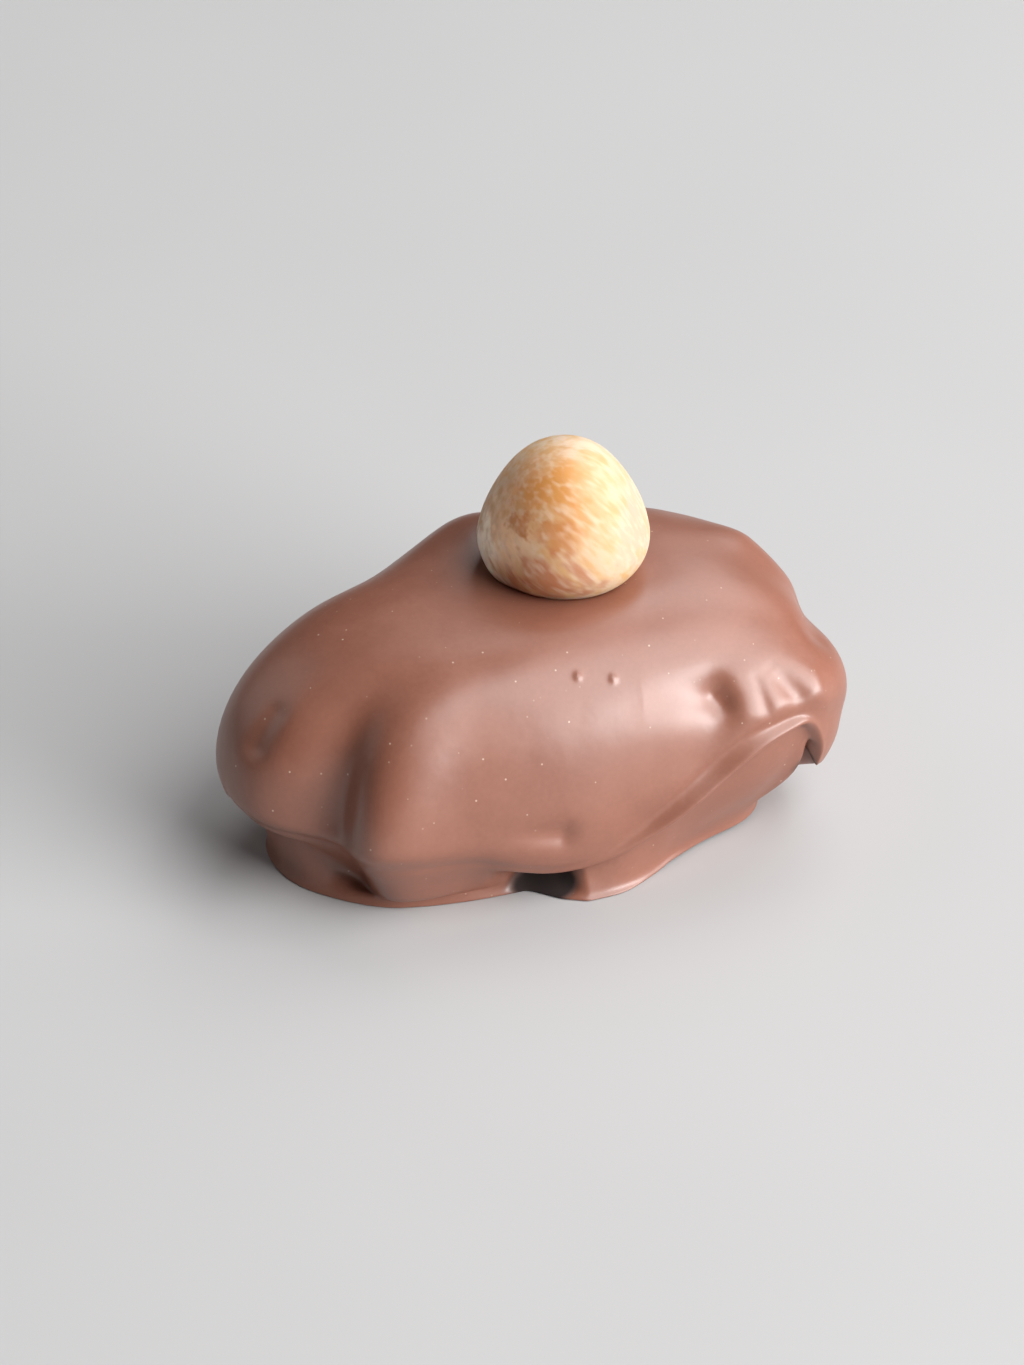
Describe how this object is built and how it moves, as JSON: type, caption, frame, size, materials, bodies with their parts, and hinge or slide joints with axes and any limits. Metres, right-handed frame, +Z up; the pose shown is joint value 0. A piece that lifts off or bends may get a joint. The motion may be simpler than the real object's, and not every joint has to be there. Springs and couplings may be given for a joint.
{
  "type": "chocolate truffle",
  "caption": "Loaf-shaped chocolate truffle in a poured milk chocolate coat with a folded lower edge, and a whole blanched hazelnut set in its crown.",
  "frame": {"origin": "under the middle of the whole piece, on the surface that it stands on", "axes": "+Z up; +X along the length, towards the squared end where the coat hangs in a tongue; -Y towards the long front side with the folded edge"},
  "size_m": [0.0442, 0.0264, 0.028],
  "materials": {
    "milk_chocolate": "satin",
    "hazelnut_kernel": "matte"
  },
  "bodies": {
    "root": {"chocolate": "milk_chocolate", "hazelnut": "hazelnut_kernel"}
  },
  "joints": []
}
